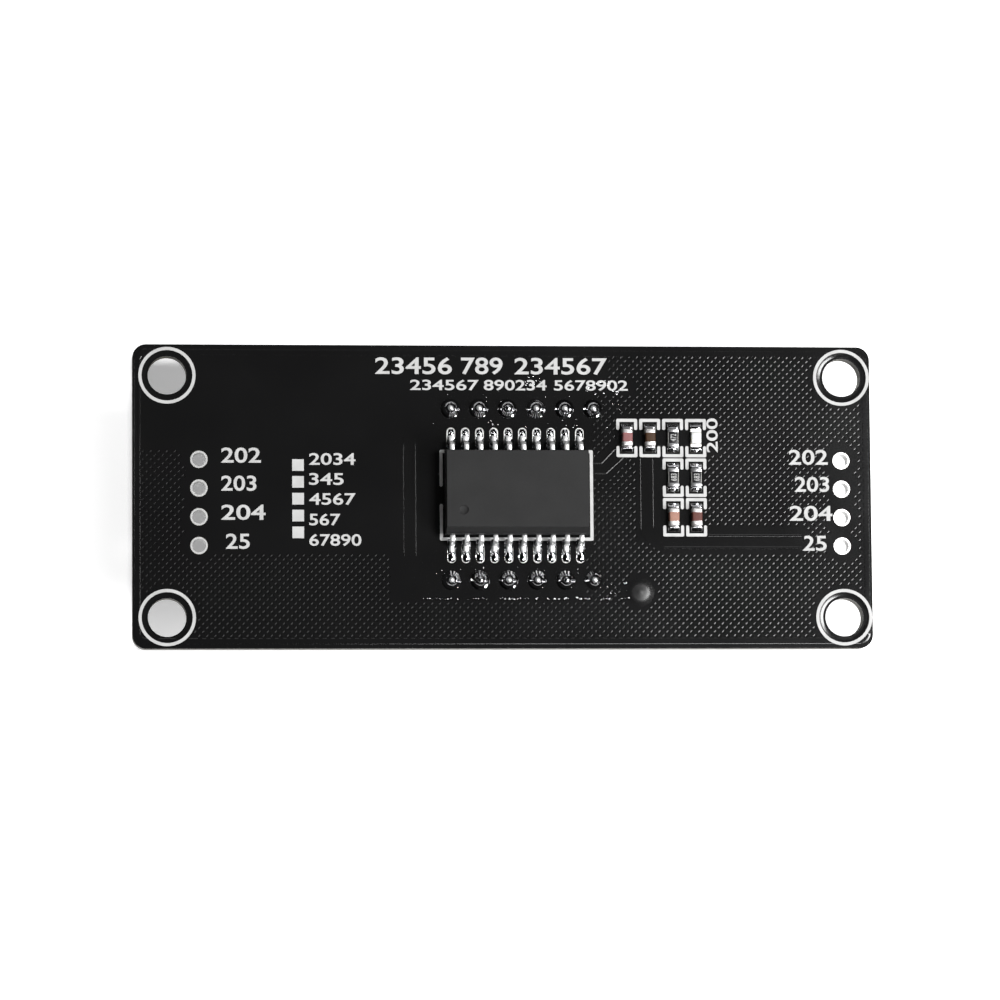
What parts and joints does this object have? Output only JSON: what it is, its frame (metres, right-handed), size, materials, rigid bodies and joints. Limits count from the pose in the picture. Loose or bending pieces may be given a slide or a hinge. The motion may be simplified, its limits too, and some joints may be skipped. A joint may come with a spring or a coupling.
{
  "type": "seven segment display module",
  "caption": "Black circuit board with a seven segment display under it, and a surface-mounted driver chip, small parts, connector holes and corner mounting holes on its back.",
  "frame": {"origin": "middle of the board's outline in plan, on the plane of the display's face, which the module rests on", "axes": "+X along the board to the right as the component side is read, +Y up across the board, +Z out of the component side"},
  "size_m": [0.0656, 0.027, 0.012],
  "materials": {
    "laminate": "satin",
    "solder_mask": "gloss",
    "white_print": "satin",
    "tinned_copper": "gloss",
    "display_plastic": "satin",
    "light_pipe_resin": "satin",
    "light_die": "satin",
    "inner_board": "satin",
    "back_resin": "gloss",
    "tinned_pin": "gloss",
    "solder": "gloss",
    "chip_moulding": "matte",
    "chip_lead": "satin",
    "ceramic_pink": "satin",
    "ceramic_brown": "satin",
    "ceramic_orange": "satin",
    "ceramic_brick": "satin",
    "metal_end": "satin",
    "resistor_alumina": "matte",
    "resistor_glaze": "gloss",
    "light_base": "matte",
    "light_lens": "gloss",
    "light_end": "satin"
  },
  "bodies": {
    "root": {"board_laminate": "laminate", "component_side_mask": "solder_mask", "display_side_mask": "solder_mask", "component_side_print": "white_print", "display_side_print": "white_print", "left_connector_plating": "tinned_copper", "right_connector_plating": "tinned_copper", "upper_pin_plating": "tinned_copper", "lower_pin_plating": "tinned_copper", "chip_pads": "tinned_copper", "small_part_pads": "tinned_copper", "display_housing": "display_plastic", "digit_1_light_pipes": "light_pipe_resin", "digit_2_light_pipes": "light_pipe_resin", "digit_3_light_pipes": "light_pipe_resin", "digit_4_light_pipes": "light_pipe_resin", "display_light_dies": "light_die", "display_inner_board": "inner_board", "display_back_resin": "back_resin", "upper_display_pins": "tinned_pin", "lower_display_pins": "tinned_pin", "upper_pin_solder": "solder", "lower_pin_solder": "solder", "upper_lead_solder": "solder", "lower_lead_solder": "solder", "small_part_solder": "solder", "driver_chip_body": "chip_moulding", "driver_chip_upper_leads": "chip_lead", "driver_chip_lower_leads": "chip_lead", "capacitor_1_ceramic": "ceramic_pink", "capacitor_2_ceramic": "ceramic_brown", "capacitor_3_ceramic": "ceramic_orange", "capacitor_4_ceramic": "ceramic_brick", "capacitor_1_ends": "metal_end", "capacitor_2_ends": "metal_end", "capacitor_3_ends": "metal_end", "capacitor_4_ends": "metal_end", "resistor_1_ends": "metal_end", "resistor_2_ends": "metal_end", "resistor_3_ends": "metal_end", "resistor_1_ceramic": "resistor_alumina", "resistor_2_ceramic": "resistor_alumina", "resistor_3_ceramic": "resistor_alumina", "resistor_1_glaze": "resistor_glaze", "resistor_2_glaze": "resistor_glaze", "resistor_3_glaze": "resistor_glaze", "power_light_base": "light_base", "power_light_lens": "light_lens", "power_light_ends": "light_end"}
  },
  "joints": []
}
